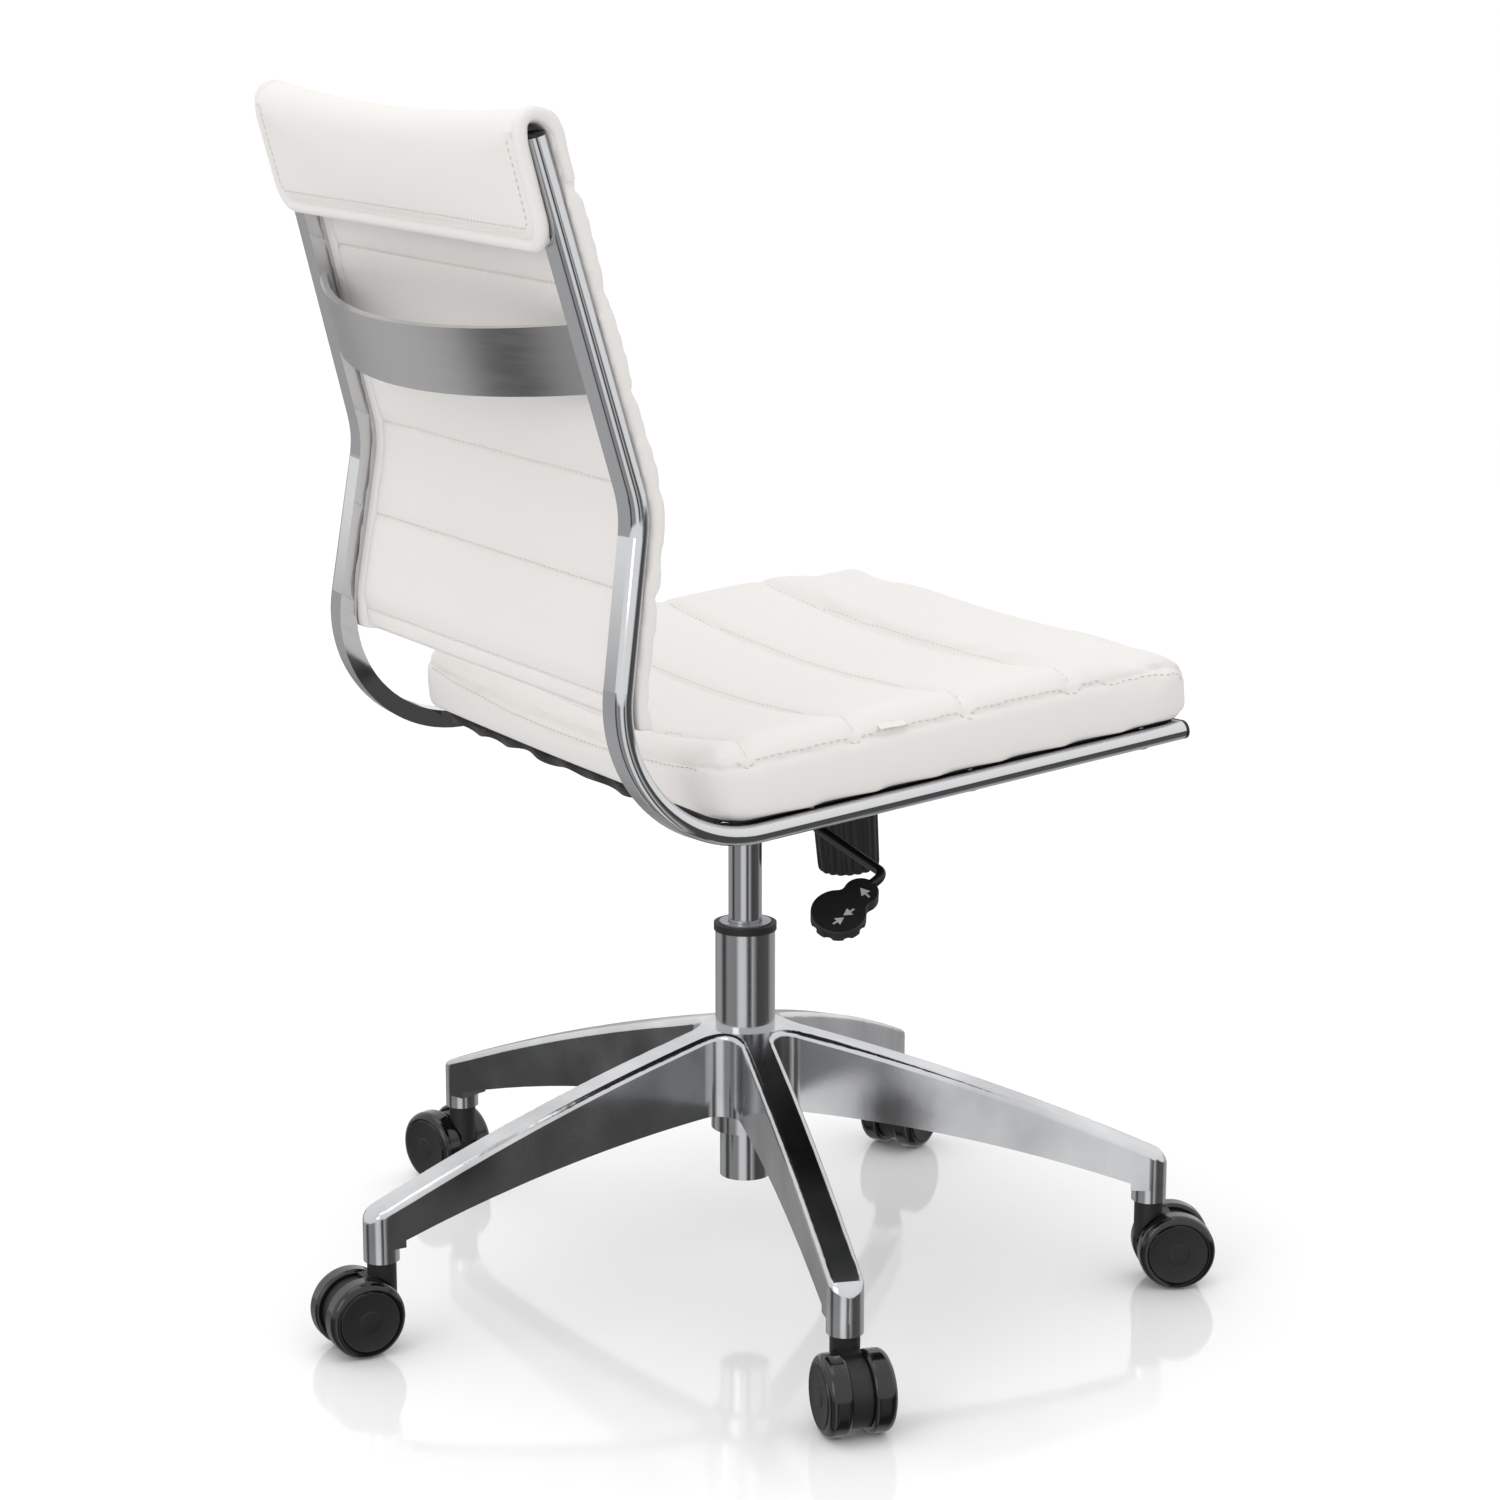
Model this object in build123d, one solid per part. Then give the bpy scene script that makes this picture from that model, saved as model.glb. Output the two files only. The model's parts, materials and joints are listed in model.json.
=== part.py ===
from build123d import *
import math
import os

# Swivel office chair. Millimetres, Z up, origin on the floor under the column.
# The sitter faces -Y and the sitter's right hand is on the -X side.

# ---- driving dimensions ----
seat_slope = 4.9            # the seat rises this much towards the front, degrees
lumbar_angle = 8.3          # forward lean of the rails between seat and lumbar kink
back_angle = 15.4           # rearward lean of the rails above the kink
rail_lean = 3.15            # each rail leans inwards, so the back is narrower than the seat
seat_origin_z = 471.5       # height of the rails' top line over the column

rail_width, rail_depth, rail_wall = 25.0, 15.0, 2.0
rail_outer_x = 252.5        # outer side of a rail at the height of lean_z
lean_z = 540.0
bend_y, bend_z = 267.7, 440.7    # corner of the seat run and the lumbar run
seat_run, lumbar_run, back_run = 527.6, 263.0, 281.5
seat_bend_r, kink_r = 103.5, 90.0

arm_count = 5
first_arm_angle = 18.0
socket_radius = 339.0       # column axis to caster stem
arm_width = 29.0
ridge_r = 5.0
socket_bottom_z = 72.6
stem_r = 5.5
hub_top_z, hub_under_z, boss_bottom_z = 217.0, 145.5, 127.0

tube_r, tube_foot_r = 25.0, 21.3         # outer tube of the gas lift: top and foot
tube_top_z, tube_foot_z = 298.5, 85.0
bushing_top_z = 304.5
lift_r = 14.0
lift_bottom_z, lift_top_z = 214.0, 427.0
lift_taper_z = 406.0
running_gap = 0.05

wheel_r, wheel_width, wheel_inner = 32.0, 18.6, 8.6
caster_trail = 21.5
caster_trails = {18: 14.0, 90: 87.0, 162: 165.0, 234: 243.0, 306: 297.0}

tilt_pivot_y, tilt_pivot_z = -135.0, -14.0      # in the seat frame
knob_y = -90.0

seat_half_x, seat_front_y, seat_rear_y = 250.0, -288.0, 178.0
brace_height, brace_thickness, brace_bow = 53.0, 6.0, 58.0


def polar(start, angle, length):
    """Point at an angle (degrees, from +Y towards +Z) and a distance."""
    a = math.radians(angle)
    return (start[0] + length * math.cos(a), start[1] + length * math.sin(a))


def ring(outer, inner, z0, z1):
    return Pos(0, 0, z0) * extrude(Circle(outer) - Circle(inner), z1 - z0)


def disc(radius, z0, z1):
    return Pos(0, 0, z0) * extrude(Circle(radius), z1 - z0)


def turned(points):
    """Solid of revolution about Z from (radius, z) points."""
    face = make_face(Polyline(*[(r, 0, z) for r, z in points], close=True))
    return revolve(face, Axis.Z)


def side_prism(points, half_x):
    """Extrude a closed (y, z) outline to both sides of X = 0."""
    face = make_face(Polyline(*[(0, y, z) for y, z in points], close=True))
    return extrude(face, half_x, dir=(1, 0, 0), both=True)


# the seat frame: x as the chair, y towards the back along the seat, z off the seat
slope = math.radians(seat_slope)
seat_frame = Plane(origin=(0, 0, seat_origin_z), x_dir=(1, 0, 0), z_dir=(0, math.sin(slope), math.cos(slope)))
seat = Location(seat_frame)

parts = {}


# ---- five-star base and gas lift ----

def five_star_base():
    plan = Sketch()
    for i in range(arm_count):
        arm = Pos(socket_radius / 2, 0) * Rectangle(socket_radius, arm_width)
        arm += Pos(socket_radius, 0) * Circle(arm_width / 2)
        plan += Rot(0, 0, first_arm_angle + 72 * i) * arm
    inner_r = arm_width / 2 / math.sin(math.radians(36))
    corners = [v for v in plan.vertices() if math.hypot(v.X, v.Y) < inner_r + 3]
    plan = fillet(corners, 20)
    tip_r = socket_radius + arm_width / 2
    top = ThreePointArc((34, 0, hub_top_z), (190, 0, 172.5), (345, 0, 115))
    nose = ThreePointArc(top @ 1, (351, 0, 110), (tip_r + 1, 0, 100))
    under = ThreePointArc((324, 0, 90), (195, 0, 123.5), (44, 0, hub_under_z))
    edges = [Line((0, 0, hub_top_z), top @ 0), top, nose,
             Polyline(nose @ 1, (tip_r + 1, 0, 84), (324, 0, 84), under @ 0), under,
             Polyline(under @ 1, (0, 0, hub_under_z), (0, 0, hub_top_z))]
    envelope = revolve(make_face(edges), Axis.Z)
    body = (Pos(0, 0, 80) * extrude(plan, 150)) & envelope
    middles = [(e, e @ 0.5) for e in body.edges() if e.length > 5]
    ridges = [e for e, p in middles if top.distance_to(Vertex(math.hypot(p.X, p.Y), 0, p.Z)) < 2]
    body = fillet(ridges, ridge_r)
    body += disc(28.5, boss_bottom_z, hub_under_z + 1)
    for i in range(arm_count):
        body += Rot(0, 0, first_arm_angle + 72 * i) * Pos(socket_radius, 0) * disc(arm_width / 2, socket_bottom_z, 96)
    body -= turned(tube_outline())
    for i in range(arm_count):
        body -= Rot(0, 0, first_arm_angle + 72 * i) * Pos(socket_radius, 0) * disc(stem_r, socket_bottom_z - 1, 104)
    return body


def tube_outline():
    """Outside of the gas lift's outer tube, straight above and tapered in the hub."""
    return [(0, tube_foot_z), (tube_foot_r, tube_foot_z), (tube_foot_r, boss_bottom_z), (tube_r, 196),
            (tube_r, tube_top_z), (0, tube_top_z)]


def outer_tube():
    bore = turned([(0, 100), (18.6, 100), (18.6, 130), (23, 200), (23, tube_top_z + 1), (0, tube_top_z + 1)])
    foot = disc(19.3, tube_foot_z - 1, 96)
    return turned(tube_outline()) - bore - foot - disc(5 + running_gap, 80, 110)


def guide_bushing():
    r = lift_r + running_gap
    return ring(23, r, 204, tube_top_z) + ring(26.2, r, tube_top_z, bushing_top_z)


parts["five_star_base"] = five_star_base()
parts["column_outer_tube"] = outer_tube()
parts["guide_bushing"] = guide_bushing()
parts["bushing_washer"] = ring(21.5, lift_r + 0.4, bushing_top_z, bushing_top_z + 1.2)
parts["thrust_bearing"] = ring(15, 6, 100, 106.7)
parts["caster_stems"] = Compound(children=[
    Rot(0, 0, first_arm_angle + 72 * i) * Pos(socket_radius, 0) * (disc(stem_r, 44, 103) + ring(8.5, stem_r, 72.0, 72.6))
    for i in range(arm_count)])

parts["piston_rod"] = disc(5, 87, 238) + ring(9, 5, 107, 110) + ring(12 - running_gap, 5, 228, 238)
parts["retaining_clip"] = ring(9, 5, 92, 95.6) - Pos(8, 0, 94) * Box(12, 4, 8)


def pressure_tube():
    body = turned([(0, lift_bottom_z), (lift_r, lift_bottom_z), (lift_r, lift_taper_z), (13.5, lift_top_z), (0, lift_top_z)])
    body -= disc(12, lift_bottom_z + 12, lift_top_z - 12)
    return body - disc(5 + running_gap, lift_bottom_z - 1, 240) - disc(4 + running_gap, 400, 430)


parts["pressure_tube"] = pressure_tube()
parts["valve_pin"] = disc(4, 408, 431)


# ---- tilt mechanism, in the seat frame ----

def mechanism_top(y):
    """Top line of the housing: the seat plate comes down to it at full recline."""
    return -5.5 - 0.2126 * max(0, y - tilt_pivot_y)


housing_half_x, floor_z, cup_bottom = 46.0, -62.0, -100.0


def mechanism_housing():
    front, rear = -152, 48
    outline = [(front, mechanism_top(front)), (tilt_pivot_y, mechanism_top(tilt_pivot_y)),
               (rear, mechanism_top(rear)), (rear, floor_z + 6), (rear - 10, floor_z),
               (front + 34, floor_z), (front, -34)]
    pocket = [(front + 4, 20), (rear - 4, 20), (rear - 4, floor_z + 8), (rear - 12, floor_z + 4),
              (front + 36, floor_z + 4), (front + 4, -32)]
    tub = seat * (side_prism(outline, housing_half_x) - side_prism(pocket, housing_half_x - 4))
    cup = seat * Pos(0, knob_y, 0) * (ring(23, 19, cup_bottom, floor_z + 1) + disc(23, cup_bottom, cup_bottom + 4))
    hub = disc(23, lift_taper_z, lift_top_z) & (seat * side_prism(outline, housing_half_x))
    body = tub + cup + hub
    body -= seat * Pos(0, knob_y, 0) * disc(19, cup_bottom + 4, 20)
    body -= seat * Pos(0, knob_y, 0) * disc(5 + running_gap, cup_bottom - 5, 0)
    body -= turned([(0, 380), (lift_r, 380), (lift_r, lift_taper_z), (13.5, lift_top_z), (0, lift_top_z)])
    body -= Pos(-60, lever_y, sleeve_z) * Rot(0, 90, 0) * extrude(Circle(9 + running_gap), 60, both=True) & (
        Pos(-60, lever_y, sleeve_z) * Box(82, 40, 40))
    body -= seat * Pos(0, tilt_pivot_y, tilt_pivot_z) * Rot(0, 90, 0) * extrude(Circle(6), 60, both=True)
    return body


lever_y, sleeve_x, sleeve_z = -18.0, -52.0, 414.0
rod_r = 4.1
rod_end = (-184.0, lever_y, 384.0)


def seat_plate():
    plate = seat * Pos(0, -30, -1.5) * Box(190, 236, 3)
    for side in (-1, 1):
        flange = side_prism([(-148, -3), (85, -3), (60, -16), (-118, -26), (-148, -26)], 1.5)
        plate += seat * Pos(side * 49, 0, 0) * flange
    plate -= seat * Pos(0, tilt_pivot_y, tilt_pivot_z) * Rot(0, 90, 0) * extrude(Circle(6 + running_gap), 60, both=True)
    for x, y in plate_bolt_points:
        plate -= seat * Pos(x, y, 0) * extrude(Circle(3.1), 12, both=True)
    return plate


plate_bolt_points = [(x, y) for x in (-80, 80) for y in (-125, 65)]

parts["mechanism_housing"] = mechanism_housing()
parts["seat_plate"] = seat_plate()
parts["tilt_axle"] = seat * Pos(0, tilt_pivot_y, tilt_pivot_z) * Rot(0, 90, 0) * extrude(Circle(6), 54, both=True)
parts["plate_bolts"] = Compound(children=[
    seat * Pos(x, y, 0) * (disc(3, -3, 9) + disc(6, -6.5, -3)) for x, y in plate_bolt_points])


def tension_spring():
    turns, wire, mean_r = 7, 2.4, 15.5
    low, high = cup_bottom + 4 + wire, -3.4 - wire
    coil = Helix(pitch=(high - low) / turns, height=high - low, radius=mean_r)
    wire_face = Plane(origin=coil @ 0, z_dir=coil % 0) * Circle(wire)
    return seat * Pos(0, knob_y, low) * sweep(wire_face, path=coil, is_frenet=True)


def tension_knob():
    """Deep cup that turns round the spring cup, with finger ribs outside."""
    low, high = -143.0, -88.0
    grip = turned([(0, low), (20, low), (25.5, low + 5), (27.6, high), (0, high)])
    for i in range(16):
        grip -= Rot(0, 0, 22.5 * i) * Pos(28.8, 0, low - 1) * extrude(Circle(2.2), 46)
    grip -= disc(23.6, cup_bottom - 0.4, high + 1)
    grip -= disc(5, low + 6, 0)
    return seat * Pos(0, knob_y, 0) * grip


parts["tension_spring"] = tension_spring()
parts["tension_knob"] = tension_knob()
parts["tension_bolt"] = seat * Pos(0, knob_y, 0) * disc(5, -137, -18)


# ---- lever ----

def lock_sleeve():
    sleeve = Rot(0, 90, 0) * extrude(Circle(9) - Circle(6.2), 13, both=True)
    flange = Pos(-11.5, 0, 0) * Rot(0, 90, 0) * extrude(Circle(11.5) - Circle(6.2), 1.5, both=True)
    pin_hole = Rot(90, 0, 0) * extrude(Circle(1.6), 20, both=True)
    return Pos(sleeve_x, lever_y, sleeve_z) * (sleeve + flange - pin_hole)


def lever_rod():
    start = (sleeve_x + 18, lever_y, sleeve_z + 1.5)
    elbow = (sleeve_x - 14, lever_y, sleeve_z - 1.2)
    knee = (-70.0 - 14, lever_y, 400.0)
    hook = (rod_end[0] + 2.5, lever_y + 17, rod_end[2] - 11)
    path = FilletPolyline(start, elbow, knee, rod_end, hook, radius=8)
    face = Plane(origin=path @ 0, z_dir=path % 0) * Circle(rod_r)
    rod = sweep(face, path=path)
    return rod - Pos(sleeve_x, lever_y, sleeve_z) * Rot(90, 0, 0) * extrude(Circle(1.6 + running_gap), 20, both=True)


def valve_finger():
    """Flat arm on the rod's inner end that reaches over the valve pin."""
    arm = make_face(Polyline((-37.8, lever_y - 6), (-30, lever_y - 6), (8, -6), (8, 6), (-22, 6), (-37.8, -2),
                             close=True))
    top = Pos(0, 0, 431.6) * extrude(arm, 2.4)
    leg = Pos(-36, lever_y, 422.3) * Box(3.6, 12, 23.4)
    return top + leg - parts["lever_rod"]


paddle_origin = (-184.0, 4.0, 370.0)
paddle_plane = Plane(origin=paddle_origin, x_dir=(-0.18, 0.89, -0.43), z_dir=(-0.5, 0.3, 0.81))


def lever_paddle():
    """Two-lobed grip: a small lobe round the rod and a larger scalloped one."""
    outline = Circle(14) + Pos(27, 0) * Circle(22)
    grip = Pos(0, 0, -5) * extrude(outline, 10)
    waist = [e for e in grip.edges() if e.length < 10.1 and abs(e.center().Y) > 5]
    grip = fillet(waist, 6)
    for i in range(6):
        a = -100 + 40 * i
        grip -= Pos(27, 0) * Rot(0, 0, a) * Pos(25.2, 0, -6) * extrude(Circle(5), 7)
    top = [e for e in grip.edges() if abs(e.center().Z - 5) < 0.01]
    grip = chamfer(top, 0.8)
    return Location(paddle_plane) * grip


parts["lock_sleeve"] = lock_sleeve()
parts["lever_pivot_pin"] = Pos(sleeve_x, lever_y, sleeve_z) * Rot(90, 0, 0) * extrude(Circle(1.6), 8.6, both=True)
parts["lever_rod"] = lever_rod()
parts["valve_finger"] = valve_finger()
parts["lever_paddle"] = lever_paddle() - parts["lever_rod"]


# ---- side rails, brace and caps ----

corner_low = (bend_y, bend_z)
front_end = polar(corner_low, 180 - seat_slope, seat_run)
kink = polar(corner_low, 90 + lumbar_angle, lumbar_run)
top_end = polar(kink, 90 - back_angle, back_run)


def rail_section(inset=0.0):
    """D section: a flat inner side and a round outer side; local x points outwards."""
    half = rail_depth / 2 - inset
    straight = rail_width - rail_depth / 2
    shape = Pos(straight / 2, 0) * Rectangle(straight - inset, 2 * half) + Pos(straight, 0) * Circle(half)
    return Pos(-rail_width, 0) * (Pos(inset / 2, 0) * shape if inset else shape)


def rail_path(extra=0.0):
    start = polar(front_end, 180 - seat_slope, extra)
    end = polar(top_end, 90 - back_angle, extra)
    points = [(0, y, z) for y, z in (start, corner_low, kink, end)]
    return FilletPolyline(*points, radius=[seat_bend_r, kink_r])


def lean(shape):
    """Stand a rail made at x = 0 in its place on the +X side and lean it inwards."""
    pivot = Location((rail_outer_x, 0, lean_z))
    return pivot * Rot(0, -rail_lean, 0) * pivot.inverse() * Pos(rail_outer_x, 0, 0) * shape


def mirrored(shape):
    return mirror(shape, about=Plane.YZ)


def swept_rail(section, path):
    face = Plane(origin=path @ 0, x_dir=(1, 0, 0), z_dir=path % 0) * section
    return sweep(face, path=path, transition=Transition.RIGHT)


rail_screw_points = [-225.0, -60.0, 85.0]


def screw_axis(y):
    """Place of a rail screw, square to the seat, on the +X side."""
    return seat * Pos(238.0, y, 0)


def side_rail():
    path = rail_path()
    rail = lean(swept_rail(rail_section(), path) - swept_rail(rail_section(rail_wall), rail_path(1.0)))
    for y in rail_screw_points:
        rail -= screw_axis(y) * extrude(Circle(3.1), 30, both=True)
    return rail


def rail_caps():
    """Plastic plugs that close a rail's two ends with a thin rounded rim."""
    path = rail_path()
    caps = []
    for point, way in ((path @ 0, -(path % 0)), (path @ 1, path % 1)):
        frame = Location(Plane(origin=point, x_dir=(1, 0, 0), z_dir=way))
        rim = frame * extrude(rail_section(), 3)
        plug = frame * Pos(0, 0, -14) * extrude(rail_section(rail_wall + 0.1), 14)
        caps.append(lean(rim + plug))
    return caps


filled_rail = lean(swept_rail(rail_section(), rail_path()))
parts["rail_left"] = side_rail()
parts["rail_right"] = mirrored(parts["rail_left"])
front_cap, top_cap = rail_caps()
parts["rail_front_caps"] = Compound(children=[front_cap, mirrored(front_cap)])
parts["rail_top_caps"] = Compound(children=[top_cap, mirrored(top_cap)])


def back_brace():
    """Bowed flat bar between the rails, square to their upper run."""
    mid = polar(kink, 90 - back_angle, 116)
    a = math.radians(back_angle)
    frame = Plane(origin=(0, mid[0], mid[1]), x_dir=(1, 0, 0), z_dir=(0, math.sin(a), math.cos(a)))
    half = 226.0
    r = (half ** 2 + brace_bow ** 2) / (2 * brace_bow)
    band = Pos(0, brace_bow - r) * (Circle(r) - Circle(r - brace_thickness))
    band &= Pos(0, brace_bow / 2) * Rectangle(2 * half, brace_bow + 14)
    bar = Pos(0, 0, -brace_height / 2) * extrude(band, brace_height)
    bar = Location(frame) * bar
    return bar - filled_rail - mirrored(filled_rail)


parts["back_brace"] = back_brace()


# ---- seat ----

board_z = 12.0


def rounded_plan(half_x, y0, y1, radius, front_radius=None):
    plan = Pos(0, (y0 + y1) / 2) * Rectangle(2 * half_x, y1 - y0)
    rear = [v for v in plan.vertices() if v.Y > y0 + 1]
    plan = fillet(rear, radius)
    front = [v for v in plan.vertices() if v.Y < y0 + 1]
    return fillet(front, front_radius or radius)


def seat_board():
    board = seat * extrude(rounded_plan(243, -268, 162, 30), board_z)
    for side in (-1, 1):
        for y in rail_screw_points:
            board -= seat * Pos(side * 238.0, y, 0) * disc(3, -1, 9)
    for x, y in plate_bolt_points:
        board -= seat * Pos(x, y, 0) * disc(3, -1, 9)
    return board


def rail_screws():
    screws = []
    for y in rail_screw_points:
        depth = rail_depth + 1.6
        screw = screw_axis(y) * (disc(3, -depth, 9) + disc(5.5, -depth - 1.8, -depth))
        screws += [screw, mirrored(screw)]
    return Compound(children=screws)


def seat_cushion():
    """Boxed cushion, dished across, with a rolled front edge; it sits down over the board."""
    side_h, crown, dish = 46.0, 11.0, 15.0
    w = seat_half_x
    ridge = side_h + crown
    outline = [ThreePointArc((-w + 40, 0, ridge), (0, 0, ridge - dish), (w - 40, 0, ridge)),
               ThreePointArc((w - 40, 0, ridge), (w - 9, 0, ridge - 4), (w, 0, side_h - 8)),
               Polyline((w, 0, side_h - 8), (w, 0, 1), (-w, 0, 1), (-w, 0, side_h - 8)),
               ThreePointArc((-w, 0, side_h - 8), (-w + 9, 0, ridge - 4), (-w + 40, 0, ridge))]
    across = extrude(make_face(outline), 320, dir=(0, 1, 0), both=True)
    y0, y1 = seat_front_y, seat_rear_y
    front = [Polyline((0, y0 + 22, 1), (0, y1 - 36, 1), (0, y1 - 4, 8)),
             ThreePointArc((0, y1 - 4, 8), (0, y1, 26), (0, y1 - 6, 48)),
             Line((0, y1 - 6, 48), (0, y1 - 30, 66)), Line((0, y1 - 30, 66), (0, y0 + 60, 66)),
             ThreePointArc((0, y0 + 60, 66), (0, y0 + 10, 44), (0, y0, 26)),
             ThreePointArc((0, y0, 26), (0, y0 + 7, 8), (0, y0 + 22, 1))]
    along = extrude(make_face(front), 320, dir=(1, 0, 0), both=True)
    plan = extrude(rounded_plan(w, y0 - 1, y1 + 1, 38, 54), 90)
    board_room = extrude(rounded_plan(243.4, -268.4, 162.4, 30), board_z + 0.3)
    return seat * ((across & along & plan) - board_room)


parts["seat_board"] = seat_board()
parts["rail_screws"] = rail_screws()
parts["seat_cushion"] = seat_cushion()
parts["dust_cover"] = seat * (Pos(0, 0, -0.9) * extrude(rounded_plan(222, -262, 156, 24), 0.8)
                              - Pos(0, -30, -3) * extrude(Rectangle(192, 238), 6))


# ---- back upholstery, hung on the front of the rails ----

def back_outline(front, rear, z_low, z_high):
    """Closed (y, z) outline between two offsets ahead of the rails' front line."""
    lines = []
    for offset in (front, rear):
        base = rail_depth / 2 + offset
        a, b = math.radians(lumbar_angle), math.radians(back_angle)
        mid_y = kink[0] - base / math.cos((a + b) / 2) * math.cos((b - a) / 2)
        mid_z = kink[1] + base / math.cos((a + b) / 2) * math.sin((b - a) / 2)
        low_y = mid_y - (z_low - mid_z) * math.tan(a)
        lines.append([(low_y - 6, z_low), (low_y - (572 - z_low) * math.tan(a), 572), (mid_y, mid_z),
                      (mid_y + (z_high - mid_z) * math.tan(b), z_high)])
    return lines


def back_sheet(front, rear, z_low, z_high, width_low, width_high, z_ref=(540.0, 985.0)):
    """Slab that follows the rails, cut to a width that tapers upwards."""
    lines = back_outline(front, rear, z_low, z_high)
    paths = [FilletPolyline(*[(0, y, z) for y, z in pts], radius=[40, kink_r]) for pts in lines]
    outline = paths[0] + paths[1] + Line(paths[0] @ 0, paths[1] @ 0) + Line(paths[0] @ 1, paths[1] @ 1)
    slab = extrude(make_face(outline), 300, dir=(1, 0, 0), both=True)
    cut = make_face(Polyline((-width_low, 0, z_ref[0]), (width_low, 0, z_ref[0]), (width_high, 0, z_ref[1]),
                             (-width_high, 0, z_ref[1]), close=True))
    return slab & extrude(cut, 600, dir=(0, 1, 0), both=True)


pad_low_z, roll_seam_z = 540.0, 934.0
pad_low_half, pad_high_half = 249.0, 227.0
panel_low_half, panel_high_half = 214.0, 190.0

pad = back_sheet(14.5, -0.8, pad_low_z, roll_seam_z, pad_low_half, pad_high_half)
pad -= back_sheet(8, -6, pad_low_z + 6, roll_seam_z + 1, panel_low_half + 0.5, panel_high_half + 0.5)
parts["back_pad"] = pad - filled_rail - mirrored(filled_rail)
parts["back_panel"] = back_sheet(8, 4, pad_low_z + 6, roll_seam_z, panel_low_half, panel_high_half)


def head_roll():
    """Pillow that hangs over the rails' top ends, with a flap down the back."""
    def row(offset, z):
        b = math.radians(back_angle)
        return (kink[0] + (z - kink[1]) * math.tan(b) + offset / math.cos(b), z)
    front, rear, cover = -rail_depth / 2 - 14.5, rail_depth / 2 + 12, rail_depth / 2 + 1
    y_top = row(0, 984)[0]
    low_front, low_rear = roll_seam_z + 0.5, 889.0
    outline = [Line((0, *row(front, low_front)), (0, *row(front, 972))),
               ThreePointArc((0, *row(front, 972)), (0, y_top - 2, 993), (0, *row(rear, 968))),
               Line((0, *row(rear, 968)), (0, *row(rear, low_rear))),
               Line((0, *row(rear, low_rear)), (0, *row(cover, low_rear))),
               Line((0, *row(cover, low_rear)), (0, *row(cover, low_front))),
               Line((0, *row(cover, low_front)), (0, *row(front, low_front)))]
    body = extrude(make_face(outline), 300, dir=(1, 0, 0), both=True)
    cut = make_face(Polyline((-228, 0, 860), (228, 0, 860), (226, 0, 1000), (-226, 0, 1000), close=True))
    body &= extrude(cut, 700, dir=(0, 1, 0), both=True)
    room = make_face(Polyline((0, *row(-rail_depth / 2 - 1, 860)), (0, *row(cover, 860)), (0, *row(cover, 983)),
                              (0, *row(-rail_depth / 2 - 1, 980)), close=True))
    for side in (-1, 1):
        body -= Pos(side * 228, 0, 0) * extrude(room, 26, dir=(1, 0, 0), both=True)
    return body


parts["head_roll"] = head_roll()


# ---- casters ----

def wheel_solid():
    """Wheel about X, from its inner face at x = 0 outwards."""
    w, r = wheel_width, wheel_r
    outline = [Line((0, 6, 0), (0, r - 4, 0)), ThreePointArc((0, r - 4, 0), (0.9, r - 0.9, 0), (4, r, 0)),
               Line((4, r, 0), (w - 7, r, 0)), ThreePointArc((w - 7, r, 0), (w - 2.2, r - 2, 0), (w - 0.4, r - 6, 0)),
               Polyline((w - 0.4, r - 6, 0), (w - 0.9, r - 6.4, 0), (w, r - 7, 0), (w, 0, 0), (13.4, 0, 0),
                        (13.4, 4 + running_gap, 0), (0, 4 + running_gap, 0), (0, 6, 0))]
    return revolve(make_face(outline), Axis.X)


def caster_hood():
    neck = disc(11.8, 40, 71.6)
    plate = Pos(caster_trail, 0, wheel_r) * Rot(90, 0, 0) * extrude(Circle(27), 8.2, both=True)
    bridge = Pos(8, 0, 50) * Box(20, 16.4, 24)
    body = neck + plate + bridge
    for side in (-1, 1):
        room = Pos(caster_trail, side * 20, wheel_r) * Rot(90, 0, 0) * extrude(Circle(wheel_r + 1), 11.5, both=True)
        body -= room
    body -= disc(stem_r + running_gap, 43.5, 80)
    body -= Pos(caster_trail, 0, wheel_r) * Rot(90, 0, 0) * extrude(Circle(4), 20, both=True)
    return body


wheel = wheel_solid()
hood = caster_hood()
axle = Pos(caster_trail, 0, wheel_r) * Rot(90, 0, 0) * extrude(Circle(4), 21.6, both=True)
for number in range(arm_count):
    angle = first_arm_angle + 72 * number
    trail = caster_trails[int(angle)]
    place = Rot(0, 0, angle) * Pos(socket_radius, 0) * Rot(0, 0, trail - angle)
    name = f"caster_{number + 1}_"
    parts[name + "hood"] = place * hood
    parts[name + "axle"] = place * axle
    hub = Pos(caster_trail, 0, wheel_r)
    parts[name + "wheel_a"] = place * hub * Pos(0, wheel_inner, 0) * Rot(0, 0, 90) * wheel
    parts[name + "wheel_b"] = place * hub * Pos(0, -wheel_inner, 0) * Rot(0, 0, -90) * wheel

os.makedirs("parts", exist_ok=True)
for name, shape in parts.items():
    export_step(shape, f"parts/{name}.step")
print(len(parts), "nodes")
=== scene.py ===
import json
import math

import bmesh
import bpy
import numpy as np
from mathutils import Matrix, Vector

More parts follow.
